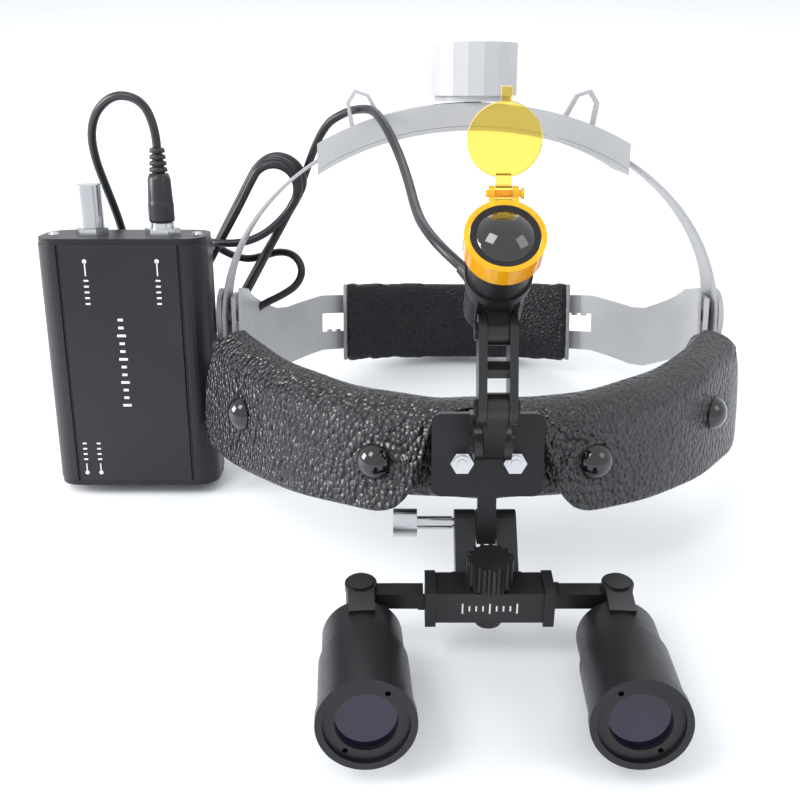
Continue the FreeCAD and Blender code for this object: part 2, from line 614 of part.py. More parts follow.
def build_bridge():
    half, depth = size("bridge_width") / 2, size("bridge_depth") / 2
    outer = block(-half, half, BRIDGE_Y - depth, BRIDGE_Y + depth, BRIDGE_Z, BRIDGE_TOP)
    front_lane = block(-half - 1, half + 1, BRIDGE_Y - 3.4, BRIDGE_Y + 3.4, ARM_Z - 0.2, ARM_Z + 5.2)
    bore = rod(1.55, 20, (0, BRIDGE_Y, BRIDGE_Z + 1.5))
    node("bridge_housing", cut(outer, front_lane, bore))
    collars = []
    for x0 in (-half - 0.05, half - 3):
        frame = block(x0, x0 + 3, BRIDGE_Y - depth - 0.8, BRIDGE_Y + depth + 0.8, BRIDGE_Z - 0.8, BRIDGE_TOP + 0.8)
        middle = block(x0 - 1, x0 + 4, BRIDGE_Y - depth - 0.02, BRIDGE_Y + depth + 0.02,
                       BRIDGE_Z - 0.02, BRIDGE_TOP + 0.02)
        collars.append(cut(frame, middle))
    collars = [cut(collar, block(-40, 40, -110.1, -100, 0, 40)) for collar in collars]
    boss = rod(4, 2.5, (0, BRIDGE_Y - 0.5, BRIDGE_Z - 2.55))
    node("bridge_trim", group(*collars, boss))

    knob = rod("adjuster_radius", "adjuster_height", (0, BRIDGE_Y, BRIDGE_TOP + 0.4))
    flutes = [rod(0.9, 12, (6.6 * math.cos(math.radians(a)), BRIDGE_Y + 6.6 * math.sin(math.radians(a)),
                            BRIDGE_TOP - 1)) for a in range(0, 360, 24)]
    shaft = rod(1.5, 8.6, (0, BRIDGE_Y, BRIDGE_TOP - 8))
    pinion = rod("pinion_radius - 0.1", 4.8, (0, BRIDGE_Y, ARM_Z + 0.1))
    node("adjuster_knob", fuse(cut(knob, *flutes), shaft, pinion))


def build_arm(name, side):
    """An arm with its rack on one side of the pinion, and the post of the loupe's swivel."""
    reach = size("arm_reach")
    high = size("arm_height")
    bar_y = BRIDGE_Y + side * 2.65
    rack = block(*sorted((side * -6.0, side * 20.0)), bar_y - 0.6, bar_y + 0.6,
                 ARM_Z + 0.1, f"{ARM_Z - 0.1} + arm_height")
    bar = block(*sorted((side * 18.5, side * (reach - 3))), BRIDGE_Y - 2.6, BRIDGE_Y + 2.6, ARM_Z, ARM_Z + high)
    eye = rod(4.3, "arm_height", (side * reach, BRIDGE_Y, ARM_Z))
    bore = rod("pin_radius + pin_play", 20, (side * reach, BRIDGE_Y, 10))
    node(f"{name}_arm", cut(fuse(rack, bar, eye), bore))


LOUPE_BACK = Vector(0, -122.4, 11.1)   # the middle of a loupe's rear section, at its back


def swivel_turn(side):
    """The turn of a loupe about its swivel that makes the two axes meet ahead of the wearer."""
    post = at(side * size("arm_reach"), BRIDGE_Y, 0)
    return post * at(axis=Z, turn=-side * LOUPE_TOE_IN) * post.inverse()


def build_loupe(name, side):
    """One loupe: bracket, eyepiece, barrel, rim, retaining ring and lenses, along its own axis."""
    reach = side * size("arm_reach")
    toe_in = swivel_turn(side)
    place = at(reach, LOUPE_BACK.y, LOUPE_BACK.z, X, 90 - LOUPE_RISE)
    length = size("loupe_length")
    top = ARM_Z + size("arm_height")
    post = rod(1.5, 7.6, (reach, BRIDGE_Y, top - 6))
    head = rod(4.5, 2, (reach, BRIDGE_Y, top + 0.15))
    cap = rod(3.6, 0.8, (reach, BRIDGE_Y, top + 2.1))
    arm = block(reach - 3.6, reach + 3.6, -126, -115, top + 0.15, top + 2.15)
    leg = block(reach - 3.6, reach + 3.6, -127, -119.9, 15, top + 2.15)
    barrel_space = rod("loupe_rear_radius + 0.03", 20)
    barrel_space.Placement = place * at(0, 0, -2)
    eye_space = rod(5.6, 14)
    eye_space.Placement = place * at(0, 0, -10)
    node(f"{name}_bracket", cut(fuse(post, head, cap, arm, leg), barrel_space, eye_space), toe_in)
    place = toe_in * place

    rear = rod("loupe_rear_radius", 14)
    groove = rod("loupe_rear_radius - 1.6", 2.2, (0, 0, 13.5))
    main = rod("barrel_radius", length - 18.4, (0, 0, 15.4))
    rim = rod("rim_radius", 3, (0, 0, length - 3.2))
    bore = rod("loupe_rear_radius - 2", length - 3, (0, 0, 1.5))
    mouth = rod("rim_radius - 1.8", 6, (0, 0, length - 3.1))
    eye_tube = rod(5.4, 6.5, (0, 0, -6))
    eye_hole = rod(4.2, 16, (0, 0, -8))
    node(f"{name}_barrel", cut(fuse(rear, groove, main, rim, eye_tube), bore, mouth, eye_hole), place)

    ring = cut(rod("rim_radius - 1.85", 1.6, (0, 0, length - 3)), rod(7.8, 4, (0, 0, length - 4)))
    holes = [rod(0.7, 4, (9.3 * math.cos(math.radians(a)), 9.3 * math.sin(math.radians(a)), length - 4))
             for a in (35 * side + 90, 35 * side + 270)]
    node(f"{name}_retaining_ring", cut(ring, *holes), place)
    objective = rod("loupe_rear_radius - 2.05", 2.2, (0, 0, length - 5.3))
    ocular = rod(4.15, 2.4, (0, 0, -4))
    prism = block(-4.5, 4.5, -4.5, 4.5, 6, 16)
    node(f"{name}_optics", group(objective, ocular, prism), place)


# ---------------------------------------------------------------- battery box
DIMMER_X, JACK_X = -11.5, 13.0
CASE_MID = -12.0


def rounded_column(inset, z0, height):
    """A column with the battery case's rounded outline, set in by some distance."""
    half, depth = size("case_width") / 2 - inset, size("case_depth") - 2 * inset
    column = Part.makeBox(2 * half, depth, height, Vector(-half, -size("case_depth") + inset, z0))
    upright = [e for e in column.Edges if abs(e.tangentAt(e.FirstParameter).z) > 0.9]
    return column.makeFillet(size("case_corner") - inset, upright)


def build_case():
    wall, thick, high = size("case_wall"), size("end_plate_thick"), size("case_height")
    shell = rounded_column(0, thick, high).cut(rounded_column(wall, thick - 1, high + 2))
    node("battery_case", feature(shell), CASE)
    top, bottom = rounded_column(0.3, thick + high + 0.02, thick), rounded_column(0.3, 0, thick - 0.02)
    face = thick + high
    for x, radius in ((DIMMER_X, 2.55), (JACK_X, 4.02)):
        top = top.cut(Part.makeCylinder(radius, 10, Vector(x, CASE_MID, face - 4)))
    bottom = bottom.cut(Part.makeCylinder(3.02, 10, Vector(JACK_X, CASE_MID, -4)))
    node("case_end_plates", feature(Part.makeCompound([top, bottom])), CASE)
    screws = [cone(1.9, 1.4, 0.7, (x, CASE_MID, face + thick + 0.03)) for x in (-25, 25)]
    node("end_plate_screws", group(*screws), CASE)

    cells = [rod("cell_radius", "cell_length", (x, CASE_MID, 5)) for x in (-11, 11)]
    node("battery_cells", group(*cells), CASE)
    node("control_board", block(-24, 24, -19.5, -18, 71.5, 84), CASE)

    top_z = face + thick + 0.02
    dimmer_nut = cut(hexagon(10, 2.3, (DIMMER_X, CASE_MID, top_z + 0.02), (0, 0, 1)),
                     rod(2.55, 6, (DIMMER_X, CASE_MID, top_z - 1)))
    knob = rod("dimmer_radius", "dimmer_height", (DIMMER_X, CASE_MID, top_z + 2.5))
    stem = rod(2.5, 11, (DIMMER_X, CASE_MID, top_z - 8.4))
    node("dimmer_knob", fuse(knob, stem), CASE)

    nut = hexagon(10.6, 2.2, (JACK_X, CASE_MID, top_z + 0.02), (0, 0, 1))
    neck = rod(4, 12, (JACK_X, CASE_MID, top_z - 8))
    socket = rod(2.7, 10, (JACK_X, CASE_MID, top_z - 5.5))
    output_jack = cut(fuse(nut, neck), socket)
    charge_jack = cut(rod(3, 3.9, (JACK_X, CASE_MID, 0.02)), rod(1.8, 3, (JACK_X, CASE_MID, -0.5)))
    node("panel_fittings", group(dimmer_nut, output_jack, charge_jack), CASE)


def plug_base():
    return 2 * size("end_plate_thick") + size("case_height") + 4.1


def build_plug():
    low, length = plug_base(), size("plug_length")
    body = rod("plug_radius", "plug_length", (JACK_X, CASE_MID, low))
    tip = rod(2.6, 8, (JACK_X, CASE_MID, low - 7.9))
    boot = cone(3.1, 2.3, 8.6, (JACK_X, CASE_MID, low + length + 0.02))
    ribs = [rod(3.0 - 0.2 * i, 0.9, (JACK_X, CASE_MID, low + length + 1.2 + 1.9 * i)) for i in range(4)]
    node("plug", group(fuse(body, tip), fuse(boot, *ribs)), CASE)


# ---------------------------------------------------------------- cord
def cord_tube(points):
    """A round tube along straight runs joined by tangent arcs; the radii are printed."""
    radius = size("cord_diameter") / 2
    points = [Vector(*p) for p in points]
    edges, start, radii = [], points[0], []
    for before, corner, after in zip(points, points[1:], points[2:]):
        back, on = corner - before, after - corner
        turn = back.getAngle(on)
        setback = 0.45 * min(back.Length, on.Length)
        bend = setback / math.tan(turn / 2)
        radii.append(bend)
        first = corner - back.normalize() * setback
        last = corner + on.normalize() * setback
        middle_way = (first + last) * 0.5 - corner
        sag = middle_way.Length
        to_centre = bend / math.cos(turn / 2)
        centre = corner + middle_way * (to_centre / sag)
        inner = corner - centre
        middle = centre + inner.normalize() * bend
        edges.append(Part.LineSegment(start, first).toShape())
        edges.append(Part.Arc(first, middle, last).toShape())
        start = last
    edges.append(Part.LineSegment(start, points[-1]).toShape())
    path = Part.Wire(edges)
    way = (points[1] - points[0]).normalize()
    section = Part.Wire([Part.Circle(points[0], way, radius).toShape()])
    tube = path.makePipeShell([section], True, True)
    expected = math.pi * radius ** 2 * path.Length
    print("cord: length", round(path.Length, 1), "volume ratio", round(tube.Volume / expected, 4),
          "radii", [round(r, 1) for r in radii])
    return tube


HANK_TOP, HANK_FOOT = Vector(-66, 27, 107), Vector(-121, 27, 12)


def hank_place():
    run = HANK_TOP - HANK_FOOT
    return Placement(HANK_FOOT, Rotation(Z, run))


def build_cord():
    run = (HANK_TOP - HANK_FOOT).Length
    bundle = Part.makeBox(24, 12, run, Vector(-12, -6, 0))
    upright = [e for e in bundle.Edges if abs(e.tangentAt(e.FirstParameter).z) > 0.9]
    node("cord_hank", feature(bundle.makeFillet(5.8, upright), hank_place()))

    exit_point = LAMP.multVec(GLAND + GLAND_WAY * GLAND_LENGTH)
    exit_way = LAMP.Rotation.multVec(GLAND_WAY)
    second = exit_point + exit_way * 7
    lead = [exit_point, second, (-18.5, -70, 113), (-20.5, -56, 114), (-22.5, -38, 117.5), (-25.5, -20, 121.8),
            (-30.3, -7, 128.4), (-33.8, 2.8, 130.2), (-37.9, 14, 128.6), (-44.4, 22.5, 125.8), (-53.5, 27, 119.5), HANK_TOP]
    node("lamp_lead", feature(cord_tube(lead)))

    low, length = plug_base(), size("plug_length")
    boot_end = CASE.multVec(Vector(JACK_X, CASE_MID, low + length + 8.64))
    up = CASE.Rotation.multVec(Z)
    loop = [boot_end, boot_end + up * 6, (-111, 2.6, 133.5), (-120, 4.5, 135.5), (-128, 7, 130), (-132, 9.5, 121.5),
            (-132.5, 12, 112), (-131, 14.5, 102), (-129, 17, 91), (-127.5, 19, 79), (-126.5, 20.8, 66),
            (-125, 19.6, 53), (-123, 19.6, 41), (-120.6, 20.9, 29)]
    node("battery_lead", feature(cord_tube(loop)))


# ---------------------------------------------------------------- the whole object
def build():
    build_front_band()
    build_front_pads()
    build_snaps()
    build_mount_plate()
    build_plate_fittings()
    build_side_discs()
    build_crown()
    build_crown_fittings()
    build_rear()
    build_lamp_arm()
    build_lamp()
    build_filter()
    build_flip_mount()
    build_bridge()
    for name, side in (("left", -1), ("right", 1)):
        build_arm(name, side)
        build_loupe(name, side)
    build_case()
    build_plug()
    build_cord()
    doc.recompute()


def settle():
    """Move every sub-part so that the origin is the middle of the underside, without the cord."""
    box = FreeCAD.BoundBox()
    for label, item in NODES.items():
        if label not in CORD_NODES:
            box.add(item.Shape.optimalBoundingBox(False))
    shift = Vector(-box.Center.x, -box.Center.y, -box.ZMin)
    for item in NODES.values():
        item.Placement = Placement(shift, Rotation()) * item.Placement
    doc.recompute()
    print("shift", round(shift.x, 4), round(shift.y, 4), round(shift.z, 4))


def check_and_write():
    for item in doc.Objects:
        if "Invalid" in item.State or "Error" in item.State:
            raise RuntimeError(f"{item.Label} failed: {item.State}")
    os.makedirs("parts", exist_ok=True)
    for label, item in NODES.items():
        shape = item.Shape
        if shape.isNull() or not shape.isValid() or not shape.Solids:
            raise RuntimeError(f"{label} has no valid solid")
        shape.exportStep(f"parts/{label}.step")
    print(len(NODES), "nodes")


build()
settle()
check_and_write()
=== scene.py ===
"""Dental loupes: the looks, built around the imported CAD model."""
import json
import math

import bmesh
import bpy
from mathutils import Matrix, Vector


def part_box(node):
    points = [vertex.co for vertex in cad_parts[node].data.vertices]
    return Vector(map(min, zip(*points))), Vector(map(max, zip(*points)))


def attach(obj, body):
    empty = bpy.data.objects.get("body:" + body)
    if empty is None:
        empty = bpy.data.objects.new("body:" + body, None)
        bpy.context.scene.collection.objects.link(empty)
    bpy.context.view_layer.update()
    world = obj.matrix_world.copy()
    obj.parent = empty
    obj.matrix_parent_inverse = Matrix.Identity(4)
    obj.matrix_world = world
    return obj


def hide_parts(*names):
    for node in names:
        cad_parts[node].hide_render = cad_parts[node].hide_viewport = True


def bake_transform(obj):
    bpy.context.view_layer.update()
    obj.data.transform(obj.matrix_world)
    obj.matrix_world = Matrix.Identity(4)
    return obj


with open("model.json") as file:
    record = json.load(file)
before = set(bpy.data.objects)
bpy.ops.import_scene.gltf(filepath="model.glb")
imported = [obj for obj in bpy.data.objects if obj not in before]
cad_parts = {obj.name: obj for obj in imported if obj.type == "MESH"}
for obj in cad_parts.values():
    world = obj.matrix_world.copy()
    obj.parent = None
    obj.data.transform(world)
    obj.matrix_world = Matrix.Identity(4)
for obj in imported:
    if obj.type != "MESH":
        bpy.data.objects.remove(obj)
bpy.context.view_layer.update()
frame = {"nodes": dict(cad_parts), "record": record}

MM = 0.001
ROOT = "headband"

# The headband's middle lies between the side discs, on the ground.
DISC_HEIGHT = 57 * MM
disc_low, disc_high = (Vector(corner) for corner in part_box("side_discs"))
ORIGIN = (disc_low + disc_high) / 2 - Vector((0, 0, DISC_HEIGHT))


def place(x, y, z):
    """A point given in millimetres from the middle of the headband."""
    return ORIGIN + Vector((x, y, z)) * MM


def tilted(x, y, z, degrees):
    """The frame, in millimetres, of a group that is tilted about X."""
    return (Matrix.Translation(place(x, y, z)) @ Matrix.Rotation(math.radians(degrees), 4, "X")
            @ Matrix.Scale(MM, 4))


HEADSET = tilted(0, 0, 0, 0)
FRONT = tilted(0, 0, 27, -14)
CROWN = tilted(0, 0, 57, -10.4)
REAR = tilted(0, 0, 50, -20)
CASE = tilted(-120.3, -9, 0, -10)
LAMP = tilted(0, -104, 96, 40)


# ---------------------------------------------------------------- materials
class Look:
    """A principled material with helpers for its procedural detail."""

    def __init__(self, name, color, rough=0.5, metal=0.0, **sockets):
        self.mat = bpy.data.materials.new(name)
        self.mat.use_nodes = True
        self.tree = self.mat.node_tree
        self.shader = self.tree.nodes["Principled BSDF"]
        self.color = color
        self.set("Base Color", (*color, 1))
        self.set("Roughness", rough)
        self.set("Metallic", metal)
        for socket, value in sockets.items():
            self.set(socket.replace("_", " "), value)
        self.coords = self.tree.nodes.new("ShaderNodeTexCoord").outputs["Object"]

    def set(self, name, value):
        self.shader.inputs[name].default_value = value

    def link(self, a, b):
        self.tree.links.new(a, b)

    def stretched(self, stretch):
        if stretch is None:
            return self.coords
        mapping = self.tree.nodes.new("ShaderNodeMapping")
        mapping.inputs["Scale"].default_value = stretch
        self.link(self.coords, mapping.inputs["Vector"])
        return mapping.outputs["Vector"]

    def noise(self, scale, detail=3.0, stretch=None):
        made = self.tree.nodes.new("ShaderNodeTexNoise")
        made.inputs["Scale"].default_value = scale
        made.inputs["Detail"].default_value = detail
        self.link(self.stretched(stretch), made.inputs["Vector"])
        return made.outputs["Fac"]

    def cells(self, scale, wobble, stretch=None):
        """Rounded cells of uneven shape: the distance from each cell's middle."""
        noise = self.tree.nodes.new("ShaderNodeTexNoise")
        noise.inputs["Scale"].default_value = scale * 0.7
        self.link(self.coords, noise.inputs["Vector"])
        mix = self.tree.nodes.new("ShaderNodeVectorMath")
        mix.operation = "MULTIPLY_ADD"
        self.link(noise.outputs["Color"], mix.inputs[0])
        mix.inputs[1].default_value = (wobble, wobble, wobble)
        self.link(self.stretched(stretch), mix.inputs[2])
        made = self.tree.nodes.new("ShaderNodeTexVoronoi")
        made.feature = "F1"
        made.inputs["Scale"].default_value = scale
        self.link(mix.outputs["Vector"], made.inputs["Vector"])
        return made.outputs["Distance"]

    def ramp(self, source, low, high, start, end):
        made = self.tree.nodes.new("ShaderNodeValToRGB")
        first, last = made.color_ramp.elements
        first.position, last.position = low, high
        first.color, last.color = start, end
        self.link(source, made.inputs["Fac"])
        return made.outputs["Color"]

    def tint(self, source, low, high, dark=0.7, light=1.25):
        """Colour variation about the base colour along a mask: random tone where the mask is noise, painted
        highlight and painted shade where it is the leather's pebbles.
        """
        start = (*(c * dark for c in self.color), 1)
        end = (*(min(1.0, c * light) for c in self.color), 1)
        self.link(self.ramp(source, low, high, start, end), self.shader.inputs["Base Color"])
        return self

    def rough(self, source, low, high):
        made = self.tree.nodes.new("ShaderNodeMapRange")
        made.inputs["To Min"].default_value = low
        made.inputs["To Max"].default_value = high
        self.link(source, made.inputs["Value"])
        self.link(made.outputs["Result"], self.shader.inputs["Roughness"])
        return self

    def bump(self, source, strength, depth, inward=False):
        """Add relief; a second call lies over the first."""
        made = self.tree.nodes.new("ShaderNodeBump")
        made.inputs["Strength"].default_value = strength
        made.inputs["Distance"].default_value = depth
        made.invert = inward
        self.link(source, made.inputs["Height"])
        normal = self.shader.inputs["Normal"]
        if normal.is_linked:
            self.link(normal.links[0].from_socket, made.inputs["Normal"])
        self.link(made.outputs["Normal"], normal)
        return self


def leather_look(name, scale, relief, color=(0.014, 0.014, 0.017), shine=0.75):
    look = Look(name, color, 0.4)
    pebbles_and_shade = look.cells(scale, 0.0009, (1, 1, 0.75))
    # Painted highlight and painted shade: each pebble's middle is lightened and the grooves between pebbles are
    # darkened in the base colour.
    look.tint(pebbles_and_shade, 0.25, 0.8, 1.25, 0.4)
    look.rough(look.noise(300), 0.22, 0.36)
    look.bump(look.noise(4000, 2), 0.2, 0.0001)
    look.bump(pebbles_and_shade, 1.0, relief, inward=True)
    look.set("Specular IOR Level", shine)
    return look.mat


def plastic_look(name, color, rough=0.35, grain=2500, relief=0.08, **more):
    look = Look(name, color, rough, **more)
    look.tint(look.noise(40), 0.3, 0.7, 0.92, 1.06)
    look.rough(look.noise(120), rough * 0.85, rough * 1.2)
    look.bump(look.noise(grain, 2), relief, 0.0001)
    return look.mat


def metal_look(name, color, rough=0.2, stretch=None, relief=0.05):
    look = Look(name, color, rough, 1.0)
    look.rough(look.noise(500, 2, stretch), rough * 0.7, rough * 1.4)
    look.bump(look.noise(900, 2, stretch), relief, 0.00005)
    return look.mat


def anodised_look(name, color, rough):
    look = Look(name, color, rough, 0.3)
    look.tint(look.noise(25), 0.3, 0.7, 0.85, 1.2)
    look.rough(look.noise(200), rough * 0.85, rough * 1.2)
    look.bump(look.noise(6000, 2), 0.12, 0.00008)
    return look.mat


def amber_look(name, face, edge, through):
    """Tinted clear plastic, deeper in colour where it is seen edge on."""
    look = Look(name, face, 0.08)
    facing = look.tree.nodes.new("ShaderNodeLayerWeight")
    facing.inputs["Blend"].default_value = 0.45
    tint = look.ramp(facing.outputs["Facing"], 0.25, 0.9, (*face, 1), (*edge, 1))
    look.link(tint, look.shader.inputs["Base Color"])
    look.set("Transmission Weight", through)
    look.set("IOR", 1.12)
    look.set("Coat Weight", 0.6)
    look.bump(look.noise(90), 0.04, 0.0002)
    return look.mat


def dark_lens_look(name, color, coat, tint):
    look = Look(name, color, 0.03)
    look.set("Coat Weight", coat)
    look.set("Coat Roughness", 0.02)
    look.set("Coat Tint", (*tint, 1))
    look.tint(look.noise(35), 0.35, 0.65, 0.6, 1.8)
    return look.mat


def clear_look(name):
    look = Look(name, (0.95, 0.97, 1.0), 0.02)
    look.set("Transmission Weight", 0.9)
    look.bump(look.noise(60), 0.02, 0.0001)
    return look.mat


LEATHER = leather_look("black_leather", 620, 0.0015)
FINE_LEATHER = leather_look("fine_black_leather", 1000, 0.0004, (0.006, 0.0065, 0.009), 0.3)
GREY = plastic_look("grey_plastic", (0.43, 0.435, 0.445), 0.38)
KNOB_GREY = plastic_look("knob_grey_plastic", (0.5, 0.505, 0.515), 0.3)
BLACK = plastic_look("black_plastic", (0.010, 0.010, 0.011), 0.32)
BLACK_METAL = anodised_look("black_metal", (0.012, 0.012, 0.014), 0.38)
CASE_BLACK = anodised_look("case_anodising", (0.016, 0.017, 0.021), 0.34)
STEEL = metal_look("bright_steel", (0.66, 0.67, 0.69), 0.18)
BRUSHED = metal_look("brushed_steel", (0.6, 0.61, 0.63), 0.22, (1, 1, 0.03), 0.3)
GLOSS = plastic_look("gloss_black", (0.005, 0.005, 0.007), 0.08, 400, 0.02, Coat_Weight=0.6)
AMBER = amber_look("amber_plastic", (1.0, 0.62, 0.02), (0.95, 0.3, 0.0), 0.45)
FILTER = amber_look("amber_filter", (1.0, 0.76, 0.12), (1.0, 0.42, 0.0), 0.95)
COATED = dark_lens_look("coated_glass", (0.006, 0.005, 0.016), 0.25, (0.6, 0.5, 1.0))
LAMP_GLASS = dark_lens_look("lamp_glass", (0.004, 0.004, 0.005), 1.0, (1.0, 1.0, 1.0))
CLEAR = clear_look("clear_glass")
RUBBER = plastic_look("cord_rubber", (0.014, 0.014, 0.017), 0.33, 1500, 0.1)
WRAP = plastic_look("cell_wrap", (0.05, 0.16, 0.4), 0.25)
BOARD = plastic_look("board", (0.02, 0.14, 0.05), 0.4)
PRINT = plastic_look("white_print", (0.8, 0.8, 0.8), 0.5)
PIPING = plastic_look("grey_piping", (0.25, 0.25, 0.25), 0.6)

BY_SLOT = {"black_leather": LEATHER, "grey_plastic": GREY, "black_plastic": BLACK, "black_metal": BLACK_METAL,
           "bright_steel": STEEL, "gloss_black": GLOSS, "amber_plastic": AMBER, "coated_glass": COATED,
           "clear_glass": CLEAR, "cord_rubber": RUBBER, "cell_wrap": WRAP, "board": BOARD}
BY_NODE = {"filter_disc": FILTER, "crown_knob": KNOB_GREY, "dimmer_knob": BRUSHED, "flip_screw": BRUSHED}


def dress_cad_nodes():
    for part in frame["record"]["subparts"]:
        node = frame["nodes"][part["node"]]
        node.data.materials.clear()
        node.data.materials.append(BY_NODE.get(part["node"], BY_SLOT[part["material_slot"]]))


# ---------------------------------------------------------------- mesh helpers
def new_piece(name, mesh, look, body, smooth=True):
    mesh.name = name
    piece = bpy.data.objects.new(name, mesh)
    bpy.context.scene.collection.objects.link(piece)
    mesh.materials.append(look)
    for polygon in mesh.polygons:
        polygon.use_smooth = smooth
    if body is not None:
        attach(piece, body)
    return piece


def freeze(piece):
    """Make a piece's modifiers part of its mesh."""
    shown = piece.evaluated_get(bpy.context.evaluated_depsgraph_get())
    mesh = bpy.data.meshes.new_from_object(shown)
    piece.modifiers.clear()
    piece.data = mesh


def from_bmesh(name, bm, look, body, smooth=False):
    bmesh.ops.recalc_face_normals(bm, faces=bm.faces)
    mesh = bpy.data.meshes.new(name)
    bm.to_mesh(mesh)
    bm.free()
    return new_piece(name, mesh, look, body, smooth)


def slab(name, matrix, columns, rows, outer, inner, look, body, keep=None):
    """A thin curved sheet with two faces and closed edges; outer and inner give a point for a grid index."""
    bm = bmesh.new()
    grids = []
    for surface in (outer, inner):
        grids.append([[bm.verts.new(matrix @ Vector(surface(i, j))) for j in range(rows + 1)]
                      for i in range(columns + 1)])
    front, back = grids
    used = {(i, j) for i in range(columns) for j in range(rows) if keep is None or keep(i, j)}
    for i, j in used:
        corners = ((i, j), (i + 1, j), (i + 1, j + 1), (i, j + 1))
        bm.faces.new([front[a][b] for a, b in corners])
        bm.faces.new([back[a][b] for a, b in reversed(corners)])
        steps = ((0, -1), (1, 0), (0, 1), (-1, 0))
        for k, (di, dj) in enumerate(steps):
            if (i + di, j + dj) in used:
                continue
            (a, b), (c, d) = corners[k], corners[(k + 1) % 4]
            bm.faces.new([front[a][b], back[a][b], back[c][d], front[c][d]])
    loose = [v for v in bm.verts if not v.link_faces]
    bmesh.ops.delete(bm, geom=loose, context="VERTS")
    piece = from_bmesh(name, bm, look, body, smooth=True)
    round_edges(piece, 0.25)
    return piece


def round_edges(piece, width, segments=2):
    bevel = piece.modifiers.new("Rounded edges", "BEVEL")
    bevel.width = width * MM
    bevel.segments = segments
    bevel.limit_method = "ANGLE"
    bevel.angle_limit = math.radians(50)
    weighted = piece.modifiers.new("Normals", "WEIGHTED_NORMAL")
    weighted.keep_sharp = True


def lathe(bm, matrix, profile, around=32):
    """Turn a profile of (height, radius) about the local Z axis and close both ends."""
    rings = []
    for height, radius in profile:
        rings.append([bm.verts.new(matrix @ Vector((radius * math.cos(2 * math.pi * k / around),
                                                    radius * math.sin(2 * math.pi * k / around), height)))
                      for k in range(around)])
    for low, high in zip(rings, rings[1:]):
        for k in range(around):
            m = (k + 1) % around
            bm.faces.new([low[k], low[m], high[m], high[k]])
    bm.faces.new(list(reversed(rings[0])))
    bm.faces.new(rings[-1])


def curve_point(points, share):
    """A point at a share of a smooth line through the given points."""
    lengths = [math.dist(a, b) for a, b in zip(points, points[1:])]
    left = share * sum(lengths)
    for k, length in enumerate(lengths):
        if left <= length or k == len(lengths) - 1:
            break
        left -= length
    t = left / lengths[k]
    p0, p1, p2, p3 = (Vector(points[min(max(m, 0), len(points) - 1)]) for m in (k - 1, k, k + 1, k + 2))
    return 0.5 * ((2 * p1) + (p2 - p0) * t + (2 * p0 - 5 * p1 + 4 * p2 - p3) * t ** 2
                  + (3 * p1 - p0 - 3 * p2 + p3) * t ** 3)


def smooth_step(low, high, value):
    t = min(1.0, max(0.0, (value - low) / (high - low)))
    return t * t * (3 - 2 * t)


def round_head(angle, radius, z, centre_y=0.0):
    """A point round the headband, by its angle from straight ahead."""
    turn = math.radians(angle)
    return Vector((radius * math.sin(turn), centre_y - radius * math.cos(turn), z))


# ---------------------------------------------------------------- padded leather
CORE_VOXEL, PAD_VOXEL = 4.0, 2.0       # the cloth mesh's cells in the front leather and in the rear pad
PUFF_FRAMES, PUFF_PRESSURE = 20, 4


def padded_band(name, matrix, radii, low, high, start, end, body, look, centre_y=0.0, columns=72):
    """A padded strip bent round the head: a rounded section along an arc; high is a function of the angle."""
    inner, outer = radii
    rows = 28
    bm = bmesh.new()
    rings = []
    for i in range(columns + 1):
        angle = start + (end - start) * i / columns
        top = high(angle)
        middle, tall, thick = (top + low) / 2, (top - low) / 2, (outer - inner) / 2
        ring = []
        for j in range(rows):
            turn = 2 * math.pi * j / rows
            c, s = math.cos(turn), math.sin(turn)
            radius = (inner + outer) / 2 + thick * math.copysign(abs(c) ** 0.55, c)
            z = middle + tall * math.copysign(abs(s) ** 0.5, s)
            ring.append(bm.verts.new(matrix @ round_head(angle, radius, z, centre_y)))
        rings.append(ring)
    for here, there in zip(rings, rings[1:]):
        for j in range(rows):
            k = (j + 1) % rows
            bm.faces.new([here[j], here[k], there[k], there[j]])
    bm.faces.new(rings[0])
    bm.faces.new(list(reversed(rings[-1])))
    return from_bmesh(name, bm, look, body, smooth=True)


def puff_up(piece, voxel, reach):
    """Blow a padded piece up a little as cloth, so that its leather swells and wrinkles."""
    bpy.context.view_layer.objects.active = piece
    remesh = piece.modifiers.new("Remesh", "REMESH")
    remesh.mode = "VOXEL"
    remesh.voxel_size = voxel * MM
    bpy.ops.object.modifier_apply(modifier=remesh.name)
    rest = [vertex.co.copy() for vertex in piece.data.vertices]
    cloth = piece.modifiers.new("Cloth", "CLOTH")
    cloth.settings.use_pressure = True
    cloth.settings.uniform_pressure_force = PUFF_PRESSURE
    cloth.settings.effector_weights.gravity = 0
    cloth.point_cache.frame_start, cloth.point_cache.frame_end = 1, PUFF_FRAMES
    scene = bpy.context.scene
    for number in range(1, PUFF_FRAMES + 1):
        scene.frame_set(number)
    blown = piece.evaluated_get(bpy.context.evaluated_depsgraph_get())
    moved = [vertex.co.copy() for vertex in blown.data.vertices]
    piece.modifiers.remove(cloth)
    scene.frame_set(1)
    for vertex, before, after in zip(piece.data.vertices, rest, moved):
        step = after - before
        if step.length > reach * MM:
            step *= reach * MM / step.length
        vertex.co = before + step
    for polygon in piece.data.polygons:
        polygon.use_smooth = True
    modifier = piece.modifiers.new("Subdivision", "SUBSURF")
    modifier.levels = modifier.render_levels = 1


# ---------------------------------------------------------------- front leather
PAD_LOW, PAD_TOP, LEATHER_RISE = -15.0, 14.2, 13.2
FLAP_FACE, FLAP_THICK = 96.1, 2.4
FOLD_BACK, FOLD_RISE = 11, 9           # how far the fold goes back and up
FOLD_DROP = 7.0                        # the fold over the top edge starts this far below the crest line


def leather_top(angle):
    """The front leather's top edge, which rises towards both ends."""
    return PAD_TOP + math.tan(math.radians(LEATHER_RISE)) * FLAP_FACE * (1 - math.cos(math.radians(angle)))


